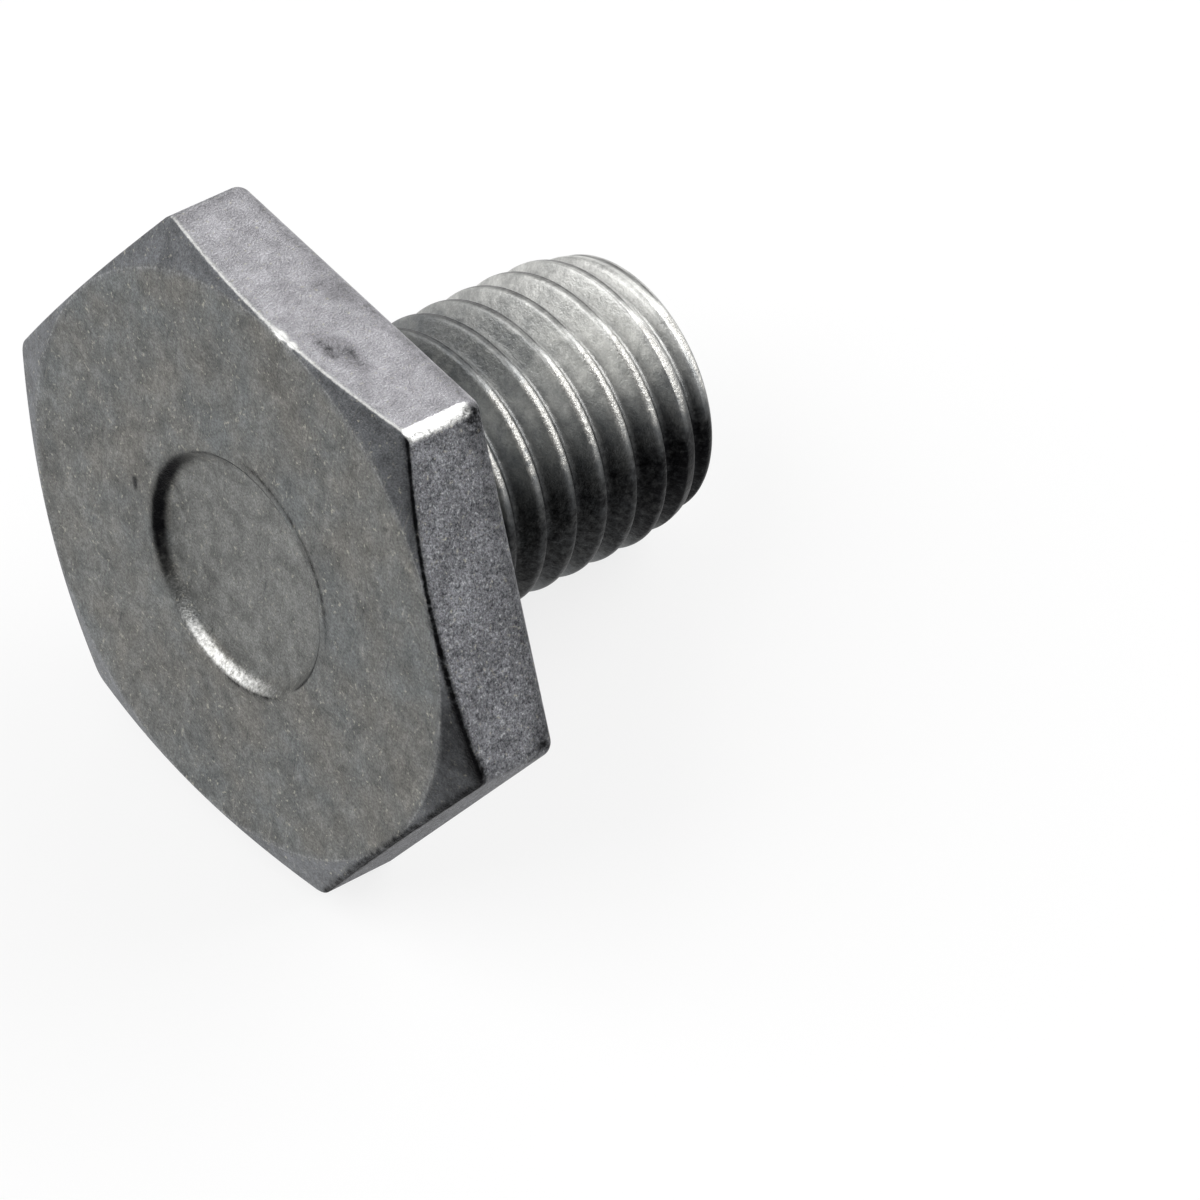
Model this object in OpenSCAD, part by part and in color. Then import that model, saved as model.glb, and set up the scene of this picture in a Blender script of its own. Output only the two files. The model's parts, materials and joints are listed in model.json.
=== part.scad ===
// Oil drain plug: a forged hexagon head with a shallow round recess, and a
// rolled metric thread, all in one piece of steel. It lies as it comes to rest,
// on one edge of the head and on the crests near its tip.

/* [Head] */
// Width across the flats of the hexagon
head_af = 24; // [20:0.5:30]
// Thickness of the head
head_h = 4.3; // [3:0.1:8]
// Radius of the upright corners between two flats
corner_r = 0.65; // [0.3:0.05:1.5]
// Radius along the flats' edge on the underside
under_edge_r = 0.55; // [0.2:0.05:0.9]
// Distance from a flat's middle in to the circle where the chamfer starts
chamfer_inset = 0.1; // [0.05:0.05:2]
// Slope of the chamfer against the outer face, in degrees
chamfer_slope = 19; // [10:1:35]

/* [Recess in the outer face] */
// Diameter of the recess at its mouth
recess_d = 9.8; // [6:0.1:14]
// How far the recess lies off the head's middle, towards the upper flat and across
recess_off = [-0.3, 0.15]; // [-1:0.05:1]
// Depth of the recess
recess_depth = 0.45; // [0.3:0.05:1]
// Slope of the recess wall against its floor, in degrees
recess_slope = 48; // [35:1:75]
// Radius where the wall meets the floor
recess_root_r = 0.6; // [0.1:0.05:0.8]
// Radius of the edge at the mouth
recess_edge_r = 0.25; // [0.05:0.05:0.4]

/* [Threaded shank] */
// Length of the shank, from the underside of the head to the tip
shank_len = 15; // [10:0.1:30]
// Diameter over the thread crests
thread_d = 11.6; // [9:0.1:14]
// Thread pitch
thread_pitch = 1.5; // [1:0.05:1.75]
// Length of the plain neck under the head
neck_len = 1.6; // [1.2:0.1:4]
// Radius between the neck and the underside of the head
neck_fillet_r = 0.5; // [0.2:0.05:1]
// Length of the slope from the neck up to the full thread
shoulder_len = 0.9; // [0.4:0.1:2]

/* [Thread lead at the tip] */
// Length over which the crests fall away towards the tip
lead_len = 2.6; // [1.2:0.1:5]
// Height that the crests lose over that length
lead_drop = 0.45; // [0.05:0.05:0.6]
// Length of the round edge of the tip
tip_edge_len = 0.4; // [0.2:0.05:1]
// Height of the round edge of the tip
tip_edge_drop = 0.25; // [0.1:0.05:0.8]
// Angle round the shank, from the upper flat, at which the groove leaves the tip
start_angle = 257; // [0:1:359]

/* [Hidden] */
$fn = 96;

// A metric thread's flanks lean 30 degrees, and its root and crest are flat.
flank_tan = tan(30);
thread_depth = 0.55 * thread_pitch;
root_half = thread_pitch / 12;
// The neck lies this far below the thread's root, so that the groove runs out in it.
neck_relief = 0.08;
crest_r = thread_d / 2;
root_r = crest_r - thread_depth;
neck_r = root_r - neck_relief;
// The threaded length stands on the neck's end, this far inside its edge.
foot_inset = 0.04;
foot_r = neck_r - foot_inset;
lead_r = crest_r - lead_drop;
tip_r = lead_r - tip_edge_drop;
edge_start = shank_len - tip_edge_len;
chamfer_r = head_af / 2 - chamfer_inset;
// Cutters reach this far past the face that they open.
past = 1;

// The thread's skin is a net of points that follows the helix. Each step along
// the helix is one column of the net, with thread_rows heights across one pitch.
thread_steps = 54;
thread_rows = 7;
tip_step = thread_steps * ceil((shank_len - neck_len) / thread_pitch + 1.5);
last_step = tip_step + ceil(1.5 * thread_steps);
edge_rings = 4;
least_groove = 0.06;

function clamp(x, low, high) = min(high, max(low, x));

// Radius of the shank's outline over the crests at height z
function crest_at(z) =
    z < neck_len + shoulder_len ? foot_r + (crest_r - foot_r) * (z - neck_len) / shoulder_len
    : z < shank_len - lead_len ? crest_r
    : z <= edge_start ? crest_r - lead_drop * pow((z - shank_len + lead_len) / (lead_len - tip_edge_len), 1.5)
    : tip_r + tip_edge_drop * sqrt(max(0, 1 - pow((z - edge_start) / tip_edge_len, 2)));

// Height of the middle of the groove at a step along the helix
function groove_at(step) = shank_len - thread_pitch * (tip_step - step) / thread_steps;

// Radius of the skin at a step's angle and at height z: a V groove with a flat
// root, cut into the outline over the crests
function skin_at(step, z) =
    let (lowest = groove_at(step % thread_steps))
    let (nearest = lowest + thread_pitch * round((z - lowest) / thread_pitch))
    min(crest_at(z), root_r + max(0, abs(z - nearest) - root_half) / flank_tan);

function skin_point(step, z) =
    let (angle = start_angle + 360 * (step % thread_steps) / thread_steps, r = skin_at(step, z))
    [r * cos(angle), r * sin(angle), z];

// Heights of one column's rows, from the crest below the groove to the groove's
// upper edge, held between the neck and the round edge of the tip
function row_heights(step) =
    let (level = crest_at(clamp(groove_at(step), neck_len, edge_start)))
    let (edge = root_half + max(least_groove, (level - root_r) * flank_tan))
    let (middle = (edge + root_half) / 2)
    [for (offset = [-thread_pitch / 2, -edge, -middle, -root_half, root_half, middle, edge])
        clamp(groove_at(step) + offset, neck_len, edge_start)];

heights = [for (step = [0 : last_step]) each row_heights(step)];
net = [for (step = [0 : last_step], row = [0 : thread_rows - 1])
    skin_point(step, heights[step * thread_rows + row])];
edge = [for (ring = [1 : edge_rings], step = [0 : thread_steps - 1])
    skin_point(step, edge_start + tip_edge_len * sin(90 * ring / edge_rings))];

module thread() {
    // Above a row lies the next one, or the first row of the column a turn later.
    function above(i) = i % thread_rows < thread_rows - 1 ? i + 1 : i + 1 + (thread_steps - 1) * thread_rows;
    sides = [for (i = [0 : (last_step - thread_steps) * thread_rows - 1])
        let (next = i + thread_rows, top = above(i), next_top = above(next))
        each [
            if (heights[next] != heights[next_top]) [i, next_top, next],
            if (heights[i] != heights[top]) [i, top, next_top]
        ]];

    // The net's last turn lies on the ring where the round edge starts.
    ring_step = last_step - thread_steps + 1;
    function ring_point(ring, step) =
        ring > 0 ? len(net) + (ring - 1) * thread_steps + step
        : (ring_step + (step + thread_steps - ring_step % thread_steps) % thread_steps) * thread_rows;
    edge_sides = [for (ring = [0 : edge_rings - 1], step = [0 : thread_steps - 1])
        let (next = (step + 1) % thread_steps)
        let (low = ring_point(ring, step), high = ring_point(ring + 1, next))
        each [[low, high, ring_point(ring, next)], [low, ring_point(ring + 1, step), high]]];
    foot_face = [for (step = [0 : thread_steps - 1]) step * thread_rows];
    tip_face = [for (step = [thread_steps - 1 : -1 : 0]) ring_point(edge_rings, step)];
    polyhedron(points = concat(net, edge), faces = concat(sides, edge_sides, [foot_face, tip_face]),
        convexity = 10);
}

// Plain neck with its fillet, let into the head
module neck() {
    rotate_extrude() difference() {
        translate([0, -head_h / 2]) square([neck_r + neck_fillet_r, head_h / 2 + neck_len]);
        translate([neck_r + neck_fillet_r, neck_fillet_r]) circle(neck_fillet_r);
        translate([neck_r, neck_fillet_r]) square([neck_fillet_r + past, neck_len]);
    }
}

// Hexagonal bar with round upright corners
module hexagon_bar() {
    centre = (head_af / 2 - corner_r) / cos(30);
    translate([0, 0, -head_h]) linear_extrude(head_h) {
        polygon([for (i = [0 : 5], flat = [60 * i, 60 * i + 60])
            [centre * cos(60 * i + 30) + corner_r * cos(flat),
             centre * sin(60 * i + 30) + corner_r * sin(flat)]]);
        for (i = [0 : 5]) rotate(60 * i + 30) translate([centre, 0]) circle(corner_r);
    }
}

// A slab as wide as the flats, whose profile rounds two of them on the underside
module flat_pair() {
    half = head_af / 2;
    inner = half - under_edge_r;
    rotate([90, 0, 0]) translate([0, 0, -head_af]) linear_extrude(2 * head_af) {
        polygon([[-half, -head_h - past], [half, -head_h - past], [half, -under_edge_r],
            [inner, 0], [-inner, 0], [-half, -under_edge_r]]);
        for (side = [-1, 1]) translate([side * inner, -under_edge_r]) circle(under_edge_r);
    }
}

// Turned outline of the head: the flat outer face and the conical chamfer
module chamfer_cone() {
    rim_r = head_af;
    rotate_extrude() polygon([[0, -head_h], [chamfer_r, -head_h],
        [rim_r, (rim_r - chamfer_r) * tan(chamfer_slope) - head_h], [rim_r, past], [0, past]]);
}

// Tool that sinks the recess: a sloped wall with a round root and a round mouth
module recess() {
    mouth_r = recess_d / 2;
    floor_z = recess_depth - head_h;
    foot_r = mouth_r - recess_depth / tan(recess_slope);
    root_cut = recess_root_r * tan(recess_slope / 2);
    edge_cut = recess_edge_r * tan(recess_slope / 2);
    wall = [cos(recess_slope), -sin(recess_slope)];
    foot = [foot_r, floor_z];
    mouth = [mouth_r, -head_h];
    rotate_extrude() {
        polygon([[0, -head_h - past], mouth + wall * past, foot + wall * root_cut,
            foot - [root_cut, 0], [0, floor_z]]);
        translate(foot - [root_cut, recess_root_r]) circle(recess_root_r);
        difference() {
            polygon([mouth - wall * edge_cut, mouth - [edge_cut, 0], mouth + [edge_cut, 0]]);
            translate(mouth + [edge_cut, recess_edge_r]) circle(recess_edge_r);
        }
    }
}

module head() {
    difference() {
        intersection() {
            hexagon_bar();
            chamfer_cone();
            intersection_for(turn = [0, 60, 120]) rotate(turn) flat_pair();
        }
        translate(recess_off) recess();
    }
}

module upright_plug() {
    head();
    neck();
    thread();
}

// The plug rests on the round lower edge of one flat and on the point of the
// thread's skin that meets the floor first as the tip sinks. A height above the
// axis is along the upright plug's own X, because its upper flat faces there.
low_edge = [under_edge_r - head_af / 2, -under_edge_r];
function tilt_onto(point) =
    let (run = point.z - low_edge.y, rise = point.x - low_edge.x)
    atan2(rise, run) + asin(under_edge_r / norm([run, rise]));
rest_tilt = min([for (point = concat(net, edge)) tilt_onto(point)]);
rest_height = under_edge_r - low_edge.x * cos(rest_tilt) + low_edge.y * sin(rest_tilt);
head_end = -head_h * cos(rest_tilt) - chamfer_r * sin(rest_tilt);
tip_end = max([for (point = edge) point.z * cos(rest_tilt) + point.x * sin(rest_tilt)]);

// The thread points along +X and down, and the origin is under the middle.
module drain_plug() color("dimgray") {
    translate([-(head_end + tip_end) / 2, 0, rest_height])
        rotate([0, 90 + rest_tilt, 0]) rotate(180) upright_plug();
}

drain_plug();
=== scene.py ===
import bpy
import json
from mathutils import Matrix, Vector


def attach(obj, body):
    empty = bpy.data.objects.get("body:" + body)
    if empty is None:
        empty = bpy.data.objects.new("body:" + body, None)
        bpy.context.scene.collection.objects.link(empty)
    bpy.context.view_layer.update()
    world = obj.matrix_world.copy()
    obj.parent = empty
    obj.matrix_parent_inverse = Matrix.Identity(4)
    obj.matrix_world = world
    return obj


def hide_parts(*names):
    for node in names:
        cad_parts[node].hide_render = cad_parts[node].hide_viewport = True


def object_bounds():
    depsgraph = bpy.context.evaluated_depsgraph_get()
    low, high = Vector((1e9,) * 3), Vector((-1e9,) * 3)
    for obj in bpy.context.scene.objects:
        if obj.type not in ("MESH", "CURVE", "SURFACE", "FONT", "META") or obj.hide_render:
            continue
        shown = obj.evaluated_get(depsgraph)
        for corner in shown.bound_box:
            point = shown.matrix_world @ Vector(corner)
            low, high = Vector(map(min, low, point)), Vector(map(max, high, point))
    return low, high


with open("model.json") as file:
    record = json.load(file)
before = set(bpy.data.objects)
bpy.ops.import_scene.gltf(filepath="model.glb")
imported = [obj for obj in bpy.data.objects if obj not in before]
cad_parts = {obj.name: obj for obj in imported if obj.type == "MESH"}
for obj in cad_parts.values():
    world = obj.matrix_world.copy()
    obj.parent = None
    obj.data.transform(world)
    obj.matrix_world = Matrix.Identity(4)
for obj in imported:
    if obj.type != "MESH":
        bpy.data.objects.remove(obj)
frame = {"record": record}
cad_box = [list(corner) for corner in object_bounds()]

import json
import math

import bmesh
import bpy
import numpy as np
from mathutils import Matrix, Vector


# Head
# A hexagon cold-forged from carbon steel bar and struck flat on its outer face, where the
# die leaves a shallow round recess. A low chamfer is turned round the face, and the flats
# roll over onto the underside. Head and shank are one piece.

# Sizes in millimetres and angles in radians, for the plug standing on its head.
head_af = 24.0
head_h = 4.3
corner_r = 0.65
corner_wear = 0.04
under_edge_r = 0.55
face_edge_r = 0.14
chamfer_inset = 0.1
chamfer_slope = math.radians(19)
chamfer_r = head_af / 2 - chamfer_inset
recess_d = 9.8
recess_off = np.array([-0.3, 0.15])
recess_depth = 0.45
recess_slope = math.radians(48)
recess_root_r = 0.6
recess_edge_r = 0.25
# A sixth of a turn, from one flat to the next.
sixth = math.pi / 3

# The mounts give the plug's axis and its upper flat as it lies at rest.
mounts = {mount["name"]: mount for mount in frame["record"]["mounts"]}
thread_axis = Vector(mounts["thread"]["axis"]).normalized()
on_axis = Vector(mounts["thread"]["pos_m"])
on_seal = Vector(mounts["seal_face"]["pos_m"])
seat = on_axis + thread_axis * (on_seal - on_axis).dot(thread_axis)
upper_flat = (on_seal - seat).normalized()
turned = Matrix((upper_flat, thread_axis.cross(upper_flat), thread_axis)).transposed()


def laid(points):
    """Points of the upright plug, in millimetres with the tip along Z and the upper flat
    towards X, turned and moved to where the plug lies, in metres."""
    return points * 0.001 @ np.array(turned).T + np.array(seat)


def ease(value, start, end):
    """A smooth step: 0 before start, 1 after end, and 3t^2 - 2t^3 between."""
    t = np.clip((value - start) / (end - start), 0, 1)
    return t * t * (3 - 2 * t)


def hill(value, middle, width):
    """A bell: e to the power of minus the square of the distance from the middle over the
    width."""
    return np.exp(-(((value - middle) / width) ** 2))


def turn_from(angle, middle):
    """How far an angle lies from the middle one, the short way round, in degrees."""
    return np.abs((np.degrees(angle) - middle + 180) % 360 - 180)


def hexagon_radius(angle, half, corner):
    """Distance from the axis to the edge of a hexagon with round corners: half over the
    cosine of the angle from the flat's middle, and the corner's own circle beyond it."""
    centre = (half - corner) / math.cos(sixth / 2)
    turn = np.abs((angle + sixth / 2) % sixth - sixth / 2)
    off = sixth / 2 - turn
    reach = np.sqrt(np.maximum(corner**2 - (centre * np.sin(off)) ** 2, 0))
    flat_end = math.atan2(centre / 2, half)
    return np.where(turn < flat_end, half / np.cos(turn), centre * np.cos(off) + reach)


def head_angles(along_flat, round_corner):
    """Angles of the columns round the head: even steps of length along each flat, then
    even steps of turn round each corner."""
    half = head_af / 2
    centre = (half - corner_r) / math.cos(sixth / 2)
    flat = np.arctan2(np.linspace(-centre / 2, centre / 2, along_flat), half)
    turn = np.linspace(0, sixth, round_corner + 2)[1:-1]
    corner = np.arctan2(centre / 2 + corner_r * np.sin(turn),
                        centre * math.cos(sixth / 2) + corner_r * np.cos(turn))
    return np.concatenate([np.concatenate([flat, corner]) + sixth * i for i in range(6)])


def arc(radius, first, last, rows):
    """Offsets along and across of a round edge: radius times the cosine and sine of angles
    that run evenly from first to last, one row to an angle."""
    turn = np.linspace(first, last, rows)[:, None]
    return radius * np.cos(turn), radius * np.sin(turn)


def between(first, last, rows):
    """Rows that run evenly from first to last, without the two ends."""
    return first + (last - first) * np.linspace(0, 1, rows + 2)[1:-1, None]


def head_profile(angle):
    """Radius and height of the head's skin, one row after another from the middle of the
    recess, over the face, chamfer and flats, to the middle of the underside, and the
    number of the row where the flats' outer edge is roundest."""
    half = head_af / 2
    rim = hexagon_radius(angle, half, corner_r)[None]
    mouth_r, floor_z = recess_d / 2, recess_depth - head_h
    foot_r = mouth_r - recess_depth / math.tan(recess_slope)
    root_cut = recess_root_r * math.tan(recess_slope / 2)
    edge_cut = recess_edge_r * math.tan(recess_slope / 2)
    edge_rows = 8
    rows = []

    def add(radius, height):
        rows.append(np.stack(np.broadcast_arrays(radius + 0 * rim, height + 0 * rim), axis=-1))

    # Recess floor, the round root of its wall, its round mouth, and the face.
    add(np.linspace(0, foot_r - root_cut, 12)[:-1, None], floor_z)
    across, along = arc(recess_root_r, math.pi / 2, math.pi / 2 - recess_slope, 10)
    add(foot_r - root_cut + across, floor_z - recess_root_r + along)
    across, along = arc(recess_edge_r, -math.pi / 2 - recess_slope, -math.pi / 2, 5)
    add(mouth_r + edge_cut + across, recess_edge_r - head_h + along)
    add(between(mouth_r + edge_cut, chamfer_r, 24), -head_h)
    add(chamfer_r, -head_h)
    # Chamfer, and the round edge between it and the flats.
    lean = math.pi / 2 - chamfer_slope
    rim_z = (rim - chamfer_r) * math.tan(chamfer_slope) - head_h
    centre_z = rim_z + face_edge_r * (1 - math.sin(chamfer_slope)) / math.cos(chamfer_slope)
    across, along = arc(face_edge_r, -lean, 0, edge_rows)
    edge_r, edge_z = rim - face_edge_r + across, centre_z + along
    share = between(0, 1, 6)
    add(chamfer_r + (edge_r[:1] - chamfer_r) * share, -head_h + (edge_z[:1] + head_h) * share)
    rim_row = sum(len(part) for part in rows) + edge_rows // 2
    add(edge_r, edge_z)
    # Flats, their round lower edge, and the underside.
    add(rim, centre_z + (-under_edge_r - centre_z) * between(0, 1, 18))
    for turn in np.linspace(0, math.pi / 2, 9):
        inset = under_edge_r * (1 - math.cos(turn))
        add(hexagon_radius(angle, half - inset, corner_r - inset)[None],
            under_edge_r * (math.sin(turn) - 1))
    underside = hexagon_radius(angle, half - under_edge_r, corner_r - under_edge_r)[None]
    add(underside * np.linspace(1, 0, 14)[1:, None], 0)
    profile = np.concatenate(rows)
    # The corner beside the upper flat, at 30 degrees, is worn flat.
    point_r = (half - corner_r) / math.cos(sixth / 2) + corner_r
    worn_r = np.where(turn_from(angle, 30) < 5,
                      (point_r - corner_wear) / np.cos(angle - sixth / 2), head_af)
    return np.minimum(profile[..., 0], worn_r), profile[..., 1], rim_row


def head_marks(radius, height, angle, rim_row):
    """Where each finish, painted shade and painted highlight lies on the head, from 0 to 1 at
    every point. Each mark is a sum of smooth steps and bells of the distance past the flats' outer
    edge, the distance from the recess's middle, the angle round the head, the height, and the
    place y along the upper flat, in millimetres and degrees."""
    step = np.hypot(np.diff(radius, axis=0, prepend=radius[:1]),
                    np.diff(height, axis=0, prepend=height[:1]))
    along = np.cumsum(step, axis=0)
    past_rim = along - along[rim_row]
    y = radius * np.sin(angle)
    by_upper, by_right, by_lower = (ease(31 - turn_from(angle, turn), 0, 2)[None]
                                    for turn in (0, 60, 120))
    front = 1 - ease(past_rim, -0.03, 0.12)
    side = (1 - front) * ease(-height, 0.0, 0.2)
    chamfer = front * ease(radius, chamfer_r - 0.1, chamfer_r + 0.1)
    upper = side * by_upper
    coarse = side * (1 - by_upper)
    mouth_r = recess_d / 2
    struck = front * ease(mouth_r - 0.45 - radius, 0, 0.2)
    wall = front * hill(radius, mouth_r - 0.12, 0.3)
    far_mouth = front * ease(88 - turn_from(angle, 54), 0, 34)
    # Degrees past the darkest place of the painted shade on the recess wall, which is at -88.
    past_dark = (np.degrees(angle) + 88 + 180) % 360 - 180
    shade = sum((
        # Painted shade on the near side of the recess wall.
        wall * ease(past_dark, -78, -14) * ease(-past_dark, -68, -14),
        # Painted shade on the chamfer along the right flat, darker at its edge and at its two
        # corners.
        chamfer * by_right * (0.1 + 0.2 * ease(past_rim, -0.7, 0.0)),
        chamfer * 0.3 * ease(26 - turn_from(angle, 30), 0, 16),
        chamfer * 0.55 * ease(20 - turn_from(angle, 90), 0, 12),
    ))
    edge_width = 0.1 + 0.12 * ease(y - 9.0, 0, 4.0)
    blotches = (0.47 * hill(y, 2.5, 1.5) * hill(height, -2.75, 0.6)
                + 0.36 * hill(y, -0.6, 1.5) * hill(height, -1.3, 0.45)
                + 0.36 * hill(y, 1.6, 0.9) * hill(height, -3.3, 0.35))
    back_stain = np.maximum(ease(height, -1.4, -0.4), ease(-y, 5.5, 6.9))
    # Dark marks: real stains, and painted shade along the edges and on the right and lower flats.
    stain_and_shade = sum((
        # Two thin lines, inside and outside the lip on the far side of the recess, and
        # one at each end of it.
        0.85 * far_mouth * hill(radius, mouth_r - 0.04, 0.07),
        0.55 * far_mouth * hill(radius, mouth_r + 0.38, 0.06)
        * ease(84 - turn_from(angle, 36), 0, 60),
        0.5 * front * hill(radius, mouth_r - 0.02, 0.1) * ease(46 - turn_from(angle, -10), 0, 20),
        0.6 * front * hill(radius, mouth_r + 0.12, 0.07) * ease(30 - turn_from(angle, 158), 0, 18),
        # Painted shade along the ragged sheared edge of the right flat, which widens downwards,
        # and along the one of the lower flat, and a thin dark line on the chamfer by the upper
        # flat.
        0.85 * by_right * hill(past_rim, -0.02, edge_width),
        0.7 * by_lower * hill(past_rim, -0.05, 0.26),
        0.28 * by_upper * chamfer * hill(past_rim, -0.25, 0.3),
        # Painted shade on the right flat's back edge and its two ends, and over the whole lower
        # flat.
        side * by_right * (0.4 * ease(height, -1.7, -0.4)
                           + 0.3 * ease(turn_from(angle, 60), 22, 31)),
        0.42 * side * by_lower,
        # The upper flat's blotches, and the stain along its back edge and its far end.
        upper * blotches,
        0.36 * upper * back_stain * ease(-height, 0.05, 0.3),
    ))
    wear_and_highlight = sum((
        # A painted highlight along the edge between the face and the upper flat, with two nicks in
        # its middle.
        0.95 * by_upper * hill(past_rim, 0.03, 0.06),
        by_upper * hill(past_rim, 0.1, 0.2) * (hill(y, 0.35, 0.26) + 0.8 * hill(y, 1.0, 0.14)),
        # The flat that wear has left on the corner beside it, with a painted highlight.
        ease(1.8 - turn_from(angle, 30.1), 0, 1.1) * ease(past_rim, -0.05, 0.15)
        * ease(-height, 0.3, 0.9),
        # Painted highlights on the lower side of the recess wall, on the lip on its far side, and
        # on the line where the chamfer starts.
        0.6 * wall * ease(60 - turn_from(angle, 179), 0, 44),
        0.4 * far_mouth * hill(radius, mouth_r + 0.17, 0.08),
        0.34 * front * hill(radius, chamfer_r, 0.08),
    ))
    return {"struck": struck, "chamfer": chamfer, "upper": upper, "coarse": coarse,
            "shade": np.clip(shade, 0, 1.2), "stain_and_shade": np.clip(stain_and_shade, 0, 1.2),
            "wear_and_highlight": np.clip(wear_and_highlight, 0, 1.2)}


def skin(radius, height, angle, closed):
    """Corners and faces of a skin round the axis: each row and column of radius and height
    is a point at that distance and angle, and each four neighbours make a face. A closed
    skin joins its last column to its first."""
    rows, columns = radius.shape
    points = np.stack([radius * np.cos(angle), radius * np.sin(angle), height], axis=-1)
    at = np.arange(rows * columns).reshape(rows, columns)
    if closed:
        at = np.concatenate([at, at[:, :1]], axis=1)
    faces = np.stack([at[:-1, :-1], at[1:, :-1], at[1:, 1:], at[:-1, 1:]], axis=-1)
    return points.reshape(-1, 3), faces.reshape(-1, 4)


# Points nearer to each other than the first are one, and an edge shorter than the second
# has no length, in metres.
merge_distance = 2e-6
least_edge = 1e-7


def steel_piece(name, points, faces, marks, material):
    """A closed mesh of the plug: its points laid down, its doubles merged so that seams and
    poles close, and each mark kept as a value at every point."""
    mesh = bpy.data.meshes.new(name)
    mesh.from_pydata(laid(points), [], faces)
    for mark, values in marks.items():
        kept = mesh.attributes.new(mark, "FLOAT", "POINT")
        kept.data.foreach_set("value", np.ravel(values).astype(np.float32))
    cleaned = bmesh.new()
    cleaned.from_mesh(mesh)
    bmesh.ops.remove_doubles(cleaned, verts=cleaned.verts, dist=merge_distance)
    bmesh.ops.dissolve_degenerate(cleaned, edges=cleaned.edges, dist=least_edge)
    bmesh.ops.recalc_face_normals(cleaned, faces=cleaned.faces)
    cleaned.to_mesh(mesh)
    cleaned.free()
    mesh.shade_smooth()
    mesh.materials.append(material)
    piece = bpy.data.objects.new(name, mesh)
    bpy.context.scene.collection.objects.link(piece)
    return piece


def linear(code):
    """The linear colour, with alpha, of an sRGB hex code."""
    srgb = np.array([int(code[i : i + 2], 16) for i in (1, 3, 5)]) / 255
    return (*np.where(srgb <= 0.04045, srgb / 12.92, ((srgb + 0.055) / 1.055) ** 2.4), 1.0)


def add_node(tree, kind, inputs=(), **settings):
    """Adds a shader node. Settings are its own properties, and inputs pairs a socket's name
    or number with a value or with the output that feeds it."""
    made = tree.nodes.new("ShaderNode" + kind)
    for name, value in settings.items():
        setattr(made, name, value)
    for socket, value in dict(inputs).items():
        if isinstance(value, bpy.types.NodeSocket):
            tree.links.new(value, made.inputs[socket])
        else:
            made.inputs[socket].default_value = value
    return made


def plug_millimetres(tree):
    """Object coordinates brought back to the upright plug, in millimetres."""
    back = turned.transposed()
    place = add_node(tree, "Mapping", {
        "Vector": add_node(tree, "TexCoord").outputs["Object"],
        "Location": back @ seat * -1000,
        "Rotation": back.to_euler(),
        "Scale": (1000, 1000, 1000)})
    return place.outputs["Vector"]


def ragged(tree, mark, noise, swing, start, end):
    """A mark from the mesh with a ragged border: the mark times one plus the noise's swing
    about its middle, eased between start and end."""
    stretch = add_node(tree, "Math", {0: noise, 1: swing, 2: 1 - swing / 2},
                       operation="MULTIPLY_ADD")
    value = add_node(tree, "Attribute", attribute_name=mark)
    total = add_node(tree, "Math", {0: value.outputs["Fac"], 1: stretch.outputs[0]},
                     operation="MULTIPLY")
    eased = add_node(tree, "MapRange", {"Value": total.outputs[0], "From Min": start,
                                        "From Max": end}, interpolation_type="SMOOTHSTEP")
    return eased.outputs["Result"]


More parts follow.
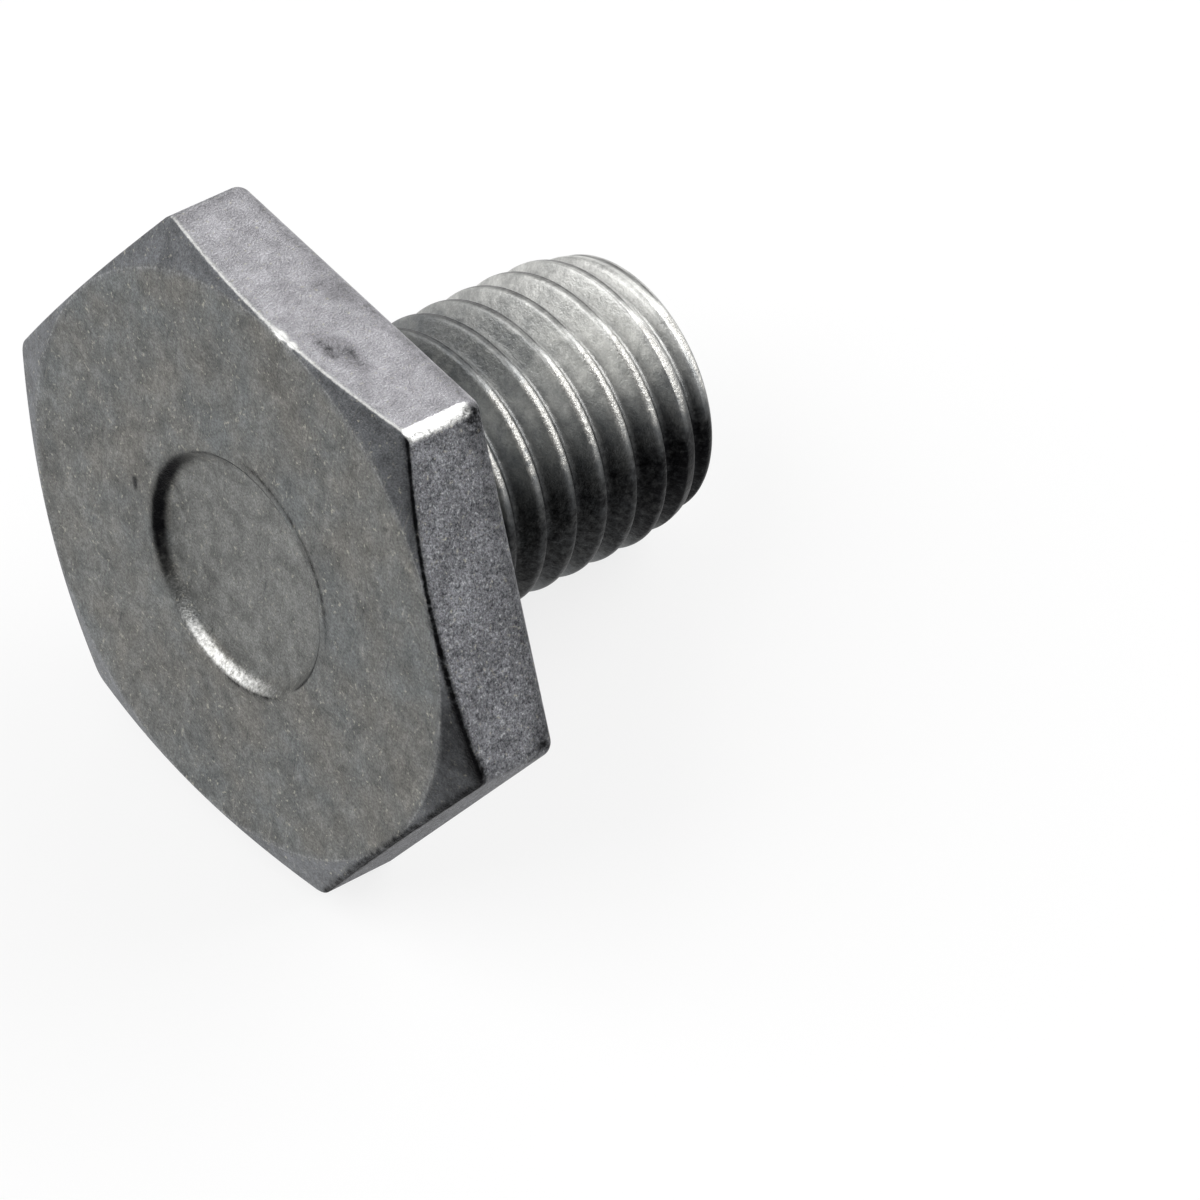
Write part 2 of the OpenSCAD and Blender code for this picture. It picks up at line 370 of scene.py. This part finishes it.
def forged_steel():
    """Cold-forged carbon steel with a thin grey phosphate skin, as struck and tumbled. The eye
    sees a dull mid grey with fine salt-and-pepper grain, faint cloudy stains and scratches,
    coarser sparkling grain on the flats with painted glints and painted shade, an upper flat
    painted lighter, clean steel and painted highlights on edges and in the recess, and painted
    shade along the sheared edges, in the recess and on the chamfer."""
    material = bpy.data.materials.new("forged_steel")
    material.use_nodes = True
    tree = material.node_tree
    shader = tree.nodes["Principled BSDF"]
    shader.inputs["Metallic"].default_value = 1.0
    at = plug_millimetres(tree)
    struck, chamfer, upper, coarse = (
        add_node(tree, "Attribute", attribute_name=mark).outputs["Fac"]
        for mark in ("struck", "chamfer", "upper", "coarse"))

    # Each pattern: the size of its largest patches in millimetres, how many finer sizes
    # lie on top, how strong they are, and how far they are warped.
    pattern = {}
    for name, size, finer, rough, warp in (
            ("stain", 2.857, 3.0, 0.55, 0.0),
            ("fold", 1.25, 4.0, 0.6, 1.2),
            ("cloud", 1.0, 5.0, 0.62, 0.6),
            ("tear", 0.3846, 5.0, 0.75, 0.0),
            ("fleck", 0.2, 2.0, 0.6, 0.0),
            ("grit", 0.16667, 4.0, 0.75, 0.0),
            ("grain", 0.083333, 2.0, 0.6, 0.0)):
        pattern[name] = add_node(tree, "TexNoise", {
            "Vector": at, "Scale": 1 / size, "Detail": finer, "Roughness": rough,
            "Distortion": warp}).outputs["Fac"]

    # Clean steel with painted highlights, painted shade, and dark stains with painted shade, each
    # read from its mark with a ragged border.
    bare_and_highlight = ragged(tree, "wear_and_highlight", pattern["grit"], 2.2, 0.2, 0.9)
    shade = ragged(tree, "shade", pattern["tear"], 1.0, 0.0, 0.95)
    dark_stain_and_shade = ragged(tree, "stain_and_shade", pattern["tear"], 2.8, 0.08, 0.86)

    # Each level: what it is read from, where it starts and ends there, and its values
    # at the two ends.
    level = {}
    for name, source, start, end, first, last in (
            ("vein", pattern["tear"], 0.52, 0.62, 0.0, 0.5),
            ("calm", upper, 0.0, 1.0, 1.0, 0.7),
            ("clouds", pattern["cloud"], 0.3, 0.7, 0.64, 1.36),
            ("patches", pattern["tear"], 0.3, 0.7, 0.8, 1.2),
            ("grains", pattern["grain"], 0.3, 0.7, 0.68, 1.32),
            ("shaded_hollow", pattern["grit"], 0.5, 0.3, 0.0, 1.0),
            ("lit", pattern["grit"], 0.57, 0.72, 0.0, 1.0),
            ("fleck", pattern["fleck"], 0.63, 0.73, 0.0, 1.0),
            ("dull", pattern["cloud"], 0.3, 0.7, 0.44, 0.54),
            ("relief", coarse, 0.0, 1.0, 0.4, 6.0),
            ("rubbed_down", bare_and_highlight, 0.0, 1.0, 1.0, 0.1)):
        level[name] = add_node(tree, "MapRange", {
            "Value": source, "From Min": start, "From Max": end,
            "To Min": first, "To Max": last}).outputs["Result"]

    # Thin dark veins follow the folds of a warped pattern, and the coarse flats keep the grit of
    # the die, with painted shade in its hollows and painted glints on its grains.
    fold = add_node(tree, "Math", {0: pattern["fold"], 1: 0.5, 2: 0.008}, operation="COMPARE")
    product = {}
    for name, one, other in (("vein", fold.outputs[0], level["vein"]),
                             ("shaded_hollow", level["shaded_hollow"], coarse),
                             ("lit", level["lit"], coarse),
                             ("relief", level["relief"], level["rubbed_down"])):
        product[name] = add_node(tree, "Math", {0: one, 1: other}, operation="MULTIPLY").outputs[0]

    # Scratches 1.8 mm long and 0.14 mm wide, at a turn in degrees: a pattern drawn out one
    # way, of which only the peaks are kept.
    scratches = []
    for turn, tone in ((38, "#A09F9A"), (-20, "#A09F9A"), (-62, "#505154"), (80, "#505154")):
        drawn = add_node(tree, "Mapping", {
            "Vector": at, "Rotation": (0, 0, math.radians(turn)), "Scale": (0.55, 7.0, 1)})
        peaks = add_node(tree, "TexNoise", {
            "Vector": drawn.outputs["Vector"], "Scale": 1.0, "Detail": 2.0, "Roughness": 0.5})
        kept = add_node(tree, "MapRange", {
            "Value": peaks.outputs["Fac"], "From Min": 0.66, "From Max": 0.9})
        scratches.append((linear(tone), kept.outputs["Result"], "MIX"))

    # Small pits on the face: place in millimetres, radius, and depth of tone.
    pits = []
    for x, y, size, tone in ((-0.35, -5.92, 0.14, 0.9), (-0.55, -5.86, 0.13, 0.9),
                             (-0.72, -5.82, 0.1, 0.6), (7.95, 7.33, 0.1, 0.5),
                             (3.9, -1.1, 0.12, 0.4), (1.9, -2.6, 0.1, 0.5)):
        far = add_node(tree, "VectorMath", {0: at, 1: (x, y, -head_h)}, operation="DISTANCE")
        pit = add_node(tree, "MapRange", {
            "Value": far.outputs["Value"], "From Min": size * 1.6, "From Max": size * 0.6,
            "To Max": tone})
        pits.append((linear("#2A2A2C"), pit.outputs["Result"], "MIX"))

    # The skin's own tone, stained cooler and warmer, and what lies over it in turn: its
    # colour, how much of it shows, and how it is laid on.
    skin_tone = add_node(tree, "ValToRGB", {"Fac": pattern["stain"]})
    cool, warm = skin_tone.color_ramp.elements
    cool.position, cool.color = 0.35, linear("#797C7C")
    warm.position, warm.color = 0.65, linear("#807F7B")
    colour = skin_tone.outputs["Color"]
    for tone, share, blend in (
            (linear("#858684"), struck, "MIX"),
            (linear("#797B7E"), chamfer, "MIX"),
            *scratches,
            (linear("#4A4B4E"), product["vein"], "MIX"),
            (linear("#88898D"), coarse, "MIX"),
            # The upper flat is painted lighter, as painted light from above; its grain is also
            # calmer.
            (linear("#A8A7AB"), upper, "MIX"),
            (level["clouds"], level["calm"], "MULTIPLY"),
            (level["patches"], level["calm"], "MULTIPLY"),
            (level["grains"], level["calm"], "MULTIPLY"),
            (linear("#3A3B40"), product["shaded_hollow"], "MIX"),
            (linear("#D8D9DC"), product["lit"], "MIX"),
            (linear("#B4B2A8"), level["fleck"], "MIX"),
            *pits,
            # Then clean steel with painted highlights, painted shade, and dark stains with painted
            # shade.
            (linear("#F0F0EE"), bare_and_highlight, "MIX"),
            (linear("#101012"), shade, "MIX"),
            (linear("#101012"), dark_stain_and_shade, "MIX")):
        colour = add_node(tree, "Mix", {0: share, 6: colour, 7: tone}, data_type="RGBA",
                          blend_type=blend).outputs[2]
    tree.links.new(colour, shader.inputs["Base Color"])

    rough = add_node(tree, "Math", {0: bare_and_highlight, 1: -0.12, 2: level["dull"]},
                     operation="MULTIPLY_ADD")
    tree.links.new(rough.outputs[0], shader.inputs["Roughness"])
    # Heights are in tenths of a millimetre. The grain is 0.01 mm high and the face's grit
    # 0.02 mm, and the flats' grit is drawn deeper than it is, so that it shows at this size.
    grit = add_node(tree, "Math", {0: pattern["grit"], 1: product["relief"]},
                    operation="MULTIPLY")
    height = add_node(tree, "Math", {0: pattern["grain"], 1: 0.22, 2: grit.outputs[0]},
                      operation="MULTIPLY_ADD")
    bump = add_node(tree, "Bump", {"Height": height.outputs[0], "Strength": 1.0,
                                   "Distance": 0.0001})
    tree.links.new(bump.outputs["Normal"], shader.inputs["Normal"])
    return material


head_turns = head_angles(along_flat=80, round_corner=14)
head_r, head_z, head_rim = head_profile(head_turns)
head_points, head_faces = skin(head_r, head_z, head_turns, closed=True)
# The recess lies off the middle, so the skin inside the chamfer moves over with it.
moved = 1 - ease(head_r, recess_d / 2 + 0.3, chamfer_r - 1)
head_points[:, :2] += recess_off * moved.reshape(-1, 1)
plug_head = steel_piece("plug_head", head_points, head_faces,
                        head_marks(head_r, head_z, head_turns, head_rim), forged_steel())
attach(plug_head, "root")
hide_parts("drain_plug")


# Threaded shank
# The thread is rolled into the same steel, so its roots are round and its crests narrow.
# It runs out into a plain neck under the head, and its crests fall away over the last
# turns so that the plug enters its hole easily.
shank_len = 15.0
thread_d = 11.6
thread_pitch = 1.5
neck_len = 1.6
neck_fillet_r = 0.5
neck_relief = 0.08
shoulder_len = 0.9
lead_len = 2.6
# A little more than the solid's, so that the skin stays inside it.
lead_drop = 0.465
tip_edge_len = 0.4
tip_edge_drop = 0.25
start_angle = math.radians(257)
# How broadly the corners of root and crest are rounded.
root_round = 0.08
crest_round = 0.09
# The foot of the shank's skin lies this far inside the head.
foot_depth = 0.5

crest_r = thread_d / 2
thread_depth = 0.55 * thread_pitch
flank_tan = math.tan(math.pi / 6)
root_r = crest_r - thread_depth
root_half = thread_pitch / 12
neck_r = root_r - neck_relief
edge_start = shank_len - tip_edge_len


def crest_at(z):
    """Radius over the crests at a height: a cone from the neck, the full thread, a slow fall
    towards the tip, and the quarter of an ellipse that rounds the tip's edge."""
    shoulder = neck_r + (crest_r - neck_r) * (z - neck_len) / shoulder_len
    fall = np.clip((z - shank_len + lead_len) / (lead_len - tip_edge_len), 0, 1) ** 1.5
    edge = np.sqrt(np.clip(1 - (np.maximum(z - edge_start, 0) / tip_edge_len) ** 2, 0, 1))
    return np.minimum(shoulder, crest_r - lead_drop * fall - tip_edge_drop * (1 - edge))


def groove_middle(angle):
    """Height of the middle of the groove at an angle: one pitch up for each turn."""
    return shank_len + thread_pitch * (angle - start_angle) / (2 * math.pi)


def from_groove(angle, z):
    """Height above the middle of the nearest turn of the groove, at most half a pitch."""
    return (z - groove_middle(angle) + thread_pitch / 2) % thread_pitch - thread_pitch / 2


def thread_radius(angle, z):
    """Radius of the threaded skin: the lower of the crest line and a V groove with a flat
    root, each blended into the next by a hyperbola so that root and crest are round."""
    rise = np.abs(from_groove(angle, z)) - root_half
    groove = root_r + (rise + np.sqrt(rise**2 + root_round**2)) / 2 / flank_tan
    crest = crest_at(z)
    return (groove + crest - np.sqrt((groove - crest) ** 2 + crest_round**2)) / 2


def shank_skin(columns, offsets):
    """Radius and height over the shank. Between neck and tip the rows climb with the thread,
    so each row stays on one line of its profile, and they stop at the two ends."""
    angle = np.linspace(0, 2 * math.pi, columns + 1)
    # Turns of the groove below and above the one at the tip. Those past an end lie on it.
    turns = np.arange(-12, 3)[:, None] * thread_pitch
    climb = (turns + offsets[None]).reshape(-1, 1) + groove_middle(angle)[None]
    z = np.clip(climb, neck_len, edge_start)
    across, along = arc(neck_fillet_r, -math.pi / 2, -math.pi, 8)
    fillet_r = neck_r + neck_fillet_r
    inner_r = np.concatenate([[[0.0]], [[fillet_r]], fillet_r + across, [[neck_r]]])
    inner_z = np.concatenate([[[-foot_depth]], [[-foot_depth]], neck_fillet_r + along,
                              [[neck_len - 0.2]]])
    edge_z = edge_start + tip_edge_len * np.sin(np.linspace(0, math.pi / 2, 8))[1:, None]
    edge_z = edge_z + 0 * angle
    edge_r = thread_radius(angle, edge_z)
    tip_r = edge_r[-1:] * np.linspace(1, 0, 8)[1:, None]
    radius = np.concatenate([inner_r + 0 * angle, thread_radius(angle, z), edge_r, tip_r])
    height = np.concatenate([inner_z + 0 * angle, z, edge_z, np.full_like(tip_r, shank_len)])
    return radius, height, angle


def shank_marks(height, angle):
    """Where painted light, painted shade and wear lie on the shank, from 0 to 1 at every point.
    Each mark is a sum of smooth steps and bells of the height, the angle round the shank, and the
    distance from the groove's middle, in millimetres and degrees."""
    rise = from_groove(angle, height)
    away = np.abs(rise)
    turn = (np.degrees(angle) + 180) % 360 - 180
    off_tip = ease(-height, -shank_len, 0.2 - shank_len)
    threaded = ease(height, neck_len + 0.5, neck_len + 1.2) * (height < shank_len - 0.1)
    crest = threaded * ease(away, 0.6, 0.7)
    low = ease(51 - turn_from(angle, 92), 0, 35)
    lit = ease(turn, 14, 24) * ease(-turn, -66, -44)
    painted_light = sum((
        # Painted light on the upper side, more towards the tip, and on a patch in the middle.
        ease(114 - turn_from(angle, -42), 0, 66) * (0.18 + 0.76 * ease(height, 5.5, 12.5)),
        0.24 * hill(turn, 30, 20) * (1 - ease(height, 10, 14)),
        # A painted highlight on the crest nearest the tip.
        0.6 * hill(turn, -8, 18) * hill(height, 13.75, 0.42),
    ))
    stain_and_shade = sum((
        # Painted shade on the lower side, and on the back.
        low * (0.72 + 0.14 * ease(height, 9, 14)),
        0.25 * ease(42 - turn_from(angle, 150), 0, 40),
        # Painted shade on the flanks that face the head, on the crests of the upper side, and on
        # the neck.
        0.28 * ease(0.4 - rise, 0, 0.3) * ease(0.75 - away, 0, 0.1) * (1 - low),
        0.5 * crest * ease(-turn, -20, -4) * ease(turn, -80, -60),
        0.3 * ease(3.2 - height, 0, 1.5),
    ))
    # Painted highlights on the crests where they face the light, and a little wear on the crests
    # of one half.
    wear_and_highlight = 0.9 * lit * threaded * ease(away, 0.52, 0.6) + 0.1 * crest * (turn > 0)
    return {"painted_light": np.clip(painted_light * off_tip + 0.3 * (1 - off_tip), 0, 1.2),
            "stain_and_shade": np.clip(stain_and_shade * off_tip, 0, 1.2), "wear_and_highlight": np.clip(wear_and_highlight, 0, 1.2)}


def rolled_steel():
    """The same steel where a rolling die has burnished it. The eye sees smooth satin grey flanks,
    painted lighter on the upper side, crests with painted highlights and small nicks, and painted
    shade in the roots and on the lower side."""
    material = bpy.data.materials.new("rolled_steel")
    material.use_nodes = True
    tree = material.node_tree
    shader = tree.nodes["Principled BSDF"]
    shader.inputs["Metallic"].default_value = 1.0
    at = plug_millimetres(tree)

    # Each pattern: the size of its largest patches in millimetres, how many finer sizes
    # lie on top, how strong they are, and how far they are warped.
    pattern = {}
    for name, size, finer, rough, warp in (("patch", 0.71429, 5.0, 0.6, 0.5),
                                           ("nick", 0.28571, 4.0, 0.7, 0.0),
                                           ("grain", 0.083333, 2.0, 0.6, 0.0)):
        pattern[name] = add_node(tree, "TexNoise", {
            "Vector": at, "Scale": 1 / size, "Detail": finer, "Roughness": rough,
            "Distortion": warp}).outputs["Fac"]

    # Each level: what it is read from, and its values at 0.3 and at 0.7 of it.
    level = {}
    for name, source, first, last in (("grains", pattern["grain"], 0.9, 1.1),
                                      ("patches", pattern["patch"], 0.86, 1.14),
                                      ("nicks", pattern["nick"], 0.88, 1.12),
                                      ("dull", pattern["patch"], 0.42, 0.52)):
        level[name] = add_node(tree, "MapRange", {
            "Value": source, "From Min": 0.3, "From Max": 0.7,
            "To Min": first, "To Max": last}).outputs["Result"]

    # Painted light on the upper side, painted highlights with a little wear on the crests, and
    # painted shade, each read from its mark.
    painted_light = ragged(tree, "painted_light", pattern["patch"], 1.0, 0.0, 1.1)
    bare_and_highlight = ragged(tree, "wear_and_highlight", pattern["nick"], 5.0, 0.15, 0.95)
    dark_stain_and_shade = ragged(tree, "stain_and_shade", pattern["nick"], 0.9, 0.0, 0.9)

    # The skin's own tone, and what lies over it in turn: its colour, how much of it shows,
    # and how it is laid on.
    skin_tone = add_node(tree, "ValToRGB", {"Fac": pattern["patch"]})
    cool, warm = skin_tone.color_ramp.elements
    cool.position, cool.color = 0.35, linear("#838688")
    warm.position, warm.color = 0.65, linear("#919291")
    colour = skin_tone.outputs["Color"]
    # Painted light, grain, painted highlights on the crests, then painted shade.
    for tone, share, blend in ((linear("#DADAD7"), painted_light, "MIX"),
                               (level["grains"], 1.0, "MULTIPLY"),
                               (level["patches"], 1.0, "MULTIPLY"),
                               (level["nicks"], 1.0, "MULTIPLY"),
                               (linear("#BCBBB7"), bare_and_highlight, "MIX"),
                               (linear("#0C0C0E"), dark_stain_and_shade, "MIX")):
        colour = add_node(tree, "Mix", {0: share, 6: colour, 7: tone}, data_type="RGBA",
                          blend_type=blend).outputs[2]
    tree.links.new(colour, shader.inputs["Base Color"])

    rough = add_node(tree, "Math", {0: bare_and_highlight, 1: -0.14, 2: level["dull"]},
                     operation="MULTIPLY_ADD")
    tree.links.new(rough.outputs[0], shader.inputs["Roughness"])
    # Nicks are 0.02 mm deep, and twice that under the crests' painted highlights and wear.
    height = add_node(tree, "Math", {0: pattern["grain"], 1: 0.3, 2: pattern["nick"]},
                      operation="MULTIPLY_ADD")
    depth = add_node(tree, "Math", {0: bare_and_highlight, 1: 0.55, 2: 0.45}, operation="MULTIPLY_ADD")
    bump = add_node(tree, "Bump", {"Height": height.outputs[0], "Strength": depth.outputs[0],
                                   "Distance": 0.00009})
    tree.links.new(bump.outputs["Normal"], shader.inputs["Normal"])
    return material


# Rows of one turn, as heights from the groove's middle: close together at root and crest.
half_rows = np.array([0.0, 0.08, 0.16, 0.25, 0.4, 0.5, 0.55, 0.59, 0.63, 0.68])
row_offsets = np.concatenate([-half_rows[:0:-1], half_rows, [thread_pitch / 2]])
shank_r, shank_z, shank_turns = shank_skin(columns=240, offsets=row_offsets)
shank_points, shank_faces = skin(shank_r, shank_z, shank_turns, closed=False)
plug_shank = steel_piece("plug_shank", shank_points, shank_faces,
                         shank_marks(shank_z, shank_turns), rolled_steel())
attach(plug_shank, "root")
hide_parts("drain_plug")


# Floor, light and camera
# A white table under a large soft box on the left, a smaller one on the right and a dim
# one behind, seen from above the head. Part of the table's light is its own, for the
# camera and for reflections, so that it shows white and keeps a soft shadow.
table_glow = 0.8
table = bpy.data.materials.new("white_table")
table.use_nodes = True
table_tree = table.node_tree
paper = table_tree.nodes["Principled BSDF"]
paper.inputs["Base Color"].default_value = linear("#F4F4F4")
paper.inputs["Roughness"].default_value = 0.9
paper.inputs["Specular IOR Level"].default_value = 0.0
ray = add_node(table_tree, "LightPath").outputs
seen = add_node(table_tree, "Math", {0: ray["Is Camera Ray"], 1: ray["Is Glossy Ray"]},
                operation="MAXIMUM")
seen = add_node(table_tree, "Math", {0: seen.outputs[0], 1: ray["Is Transmission Ray"]},
                operation="MAXIMUM")
share = add_node(table_tree, "Math", {0: seen.outputs[0], 1: table_glow}, operation="MULTIPLY")
white = add_node(table_tree, "Emission", {"Color": linear("#FFFFFF"), "Strength": 1.0})
both = add_node(table_tree, "MixShader", {0: share.outputs[0], 1: paper.outputs[0],
                                          2: white.outputs[0]})
table_tree.links.new(both.outputs[0], table_tree.nodes["Material Output"].inputs["Surface"])
floor_mesh = bpy.data.meshes.new("floor")
floor_mesh.from_pydata([(-2, -2, 0), (2, -2, 0), (2, 2, 0), (-2, 2, 0)], [], [(0, 1, 2, 3)])
floor_mesh.materials.append(table)
floor = bpy.data.objects.new("floor", floor_mesh)
bpy.context.scene.collection.objects.link(floor)

world = bpy.data.worlds.new("studio")
world.use_nodes = True
world.node_tree.nodes["Background"].inputs["Color"].default_value = linear("#FFFFFF")
world.node_tree.nodes["Background"].inputs["Strength"].default_value = 0.3
bpy.context.scene.world = world

lamp_distance = 1.2
plug_middle = (Vector(cad_box[0]) + Vector(cad_box[1])) / 2


def soft_box(name, direction, width, height, radiance):
    """A rectangular lamp that faces the plug, with sizes in metres. Its power is its radiance
    times pi times its area."""
    lamp = bpy.data.lights.new(name, "AREA")
    lamp.shape = "RECTANGLE"
    lamp.size, lamp.size_y = width, height
    lamp.energy = radiance * math.pi * width * height
    box = bpy.data.objects.new(name, lamp)
    away = Vector(direction).normalized()
    facing = away.to_track_quat("Z", "Y").to_matrix().to_4x4()
    box.matrix_world = Matrix.Translation(plug_middle + away * lamp_distance) @ facing
    box.visible_camera = False
    bpy.context.scene.collection.objects.link(box)


soft_box("left_box", (-0.42, 0.42, 0.80), 1.2, 1.2, 2.3)
soft_box("right_box", (0.825, -0.30, 0.47), 1.0, 1.0, 4.2)
soft_box("back_box", (0.74, 0.52, 0.42), 0.8, 0.7, 1.3)

# The camera's angles round the plug, its distance, and the point that it looks at.
view_azimuth = math.radians(-24.428)
view_elevation = math.radians(57.963)
view_roll = math.radians(-18.861)
view_distance = 0.34119
view_aim = Vector((0.002471, -0.008409, 0.007648))
lens = bpy.data.cameras.new("camera")
lens.sensor_width = 36
lens.lens = 272.76
camera = bpy.data.objects.new("camera", lens)
towards = Vector((math.sin(view_azimuth) * math.cos(view_elevation),
                  -math.cos(view_azimuth) * math.cos(view_elevation),
                  math.sin(view_elevation)))
level_view = towards.to_track_quat("Z", "Y").to_matrix()
rolled_view = level_view @ Matrix.Rotation(view_roll, 3, "Z")
camera.matrix_world = (Matrix.Translation(view_aim + towards * view_distance)
                       @ rolled_view.to_4x4())
bpy.context.scene.collection.objects.link(camera)
bpy.context.scene.camera = camera
bpy.context.scene.view_settings.view_transform = "Standard"

bpy.context.view_layer.update()
